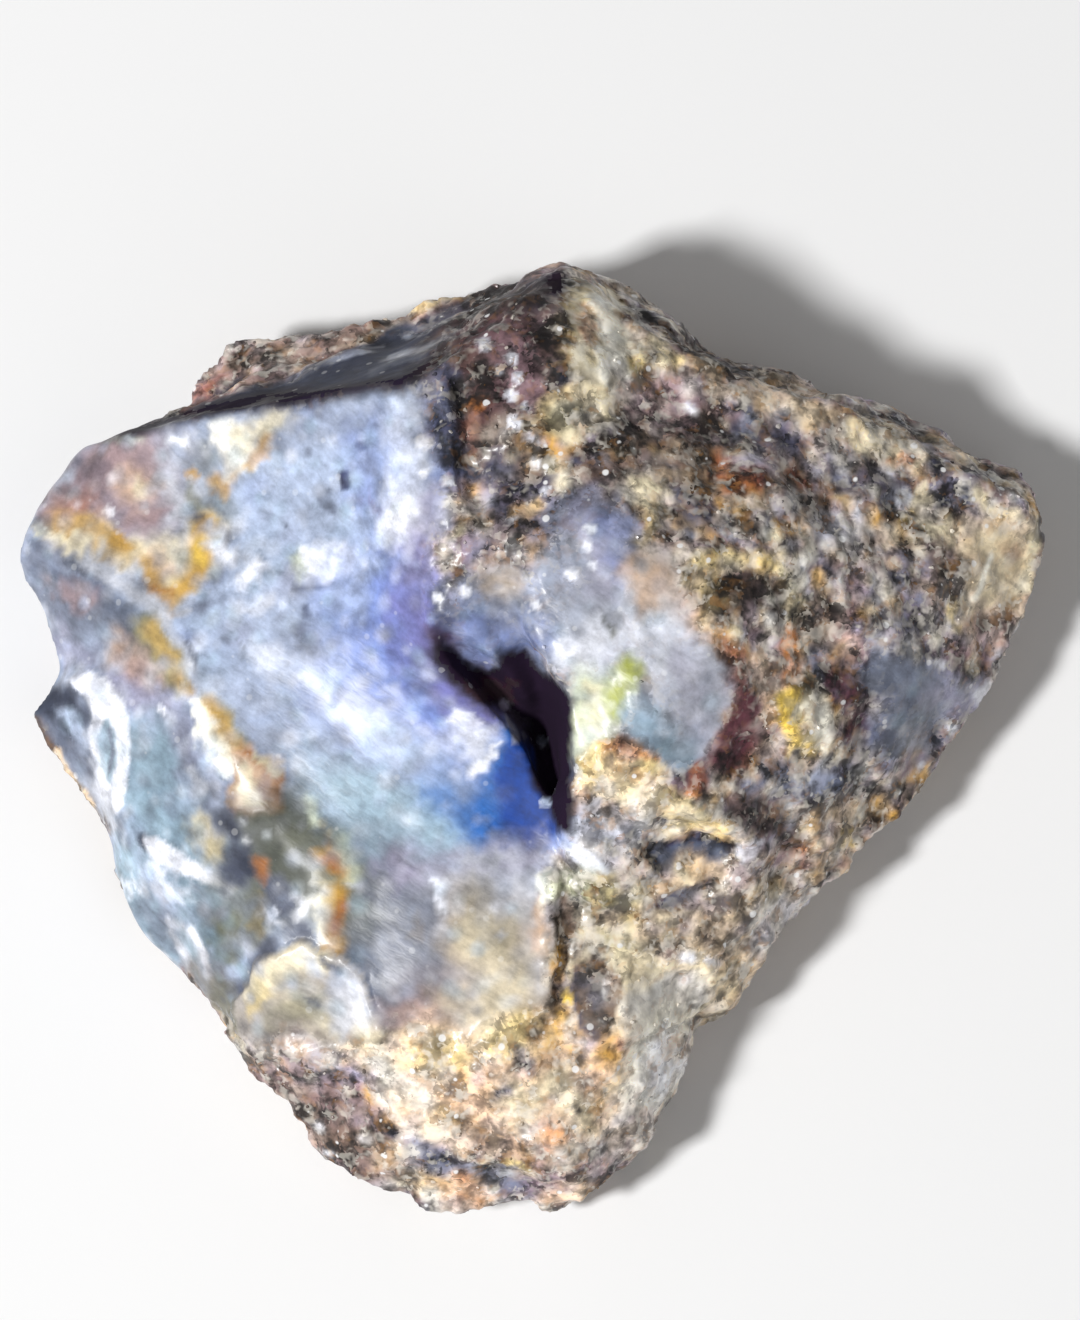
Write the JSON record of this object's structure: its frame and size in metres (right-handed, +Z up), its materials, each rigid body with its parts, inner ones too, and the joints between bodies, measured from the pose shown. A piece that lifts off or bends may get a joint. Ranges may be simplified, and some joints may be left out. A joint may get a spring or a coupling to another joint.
{
  "type": "rough opal",
  "caption": "One broken stone of pale blue opal grown into brown sandy rock, domed and wedge-shaped, with a dark cleft, chipped edges and a flat underside to rest on.",
  "frame": {"origin": "middle of the bounding box, on the flat underside", "axes": "+X to the right, across the widest part of the stone; +Y away from someone who looks down on the broken face, towards the peak; +Z up"},
  "size_m": [0.0524, 0.0482, 0.0185],
  "materials": {
    "opal_in_sandstone": "milky pale blue opal with a glassy conchoidal break, passing into rough brown and cream sandstone with ochre and rust stains"
  },
  "bodies": {
    "root": {"rough_opal": "opal_in_sandstone"}
  },
  "joints": []
}
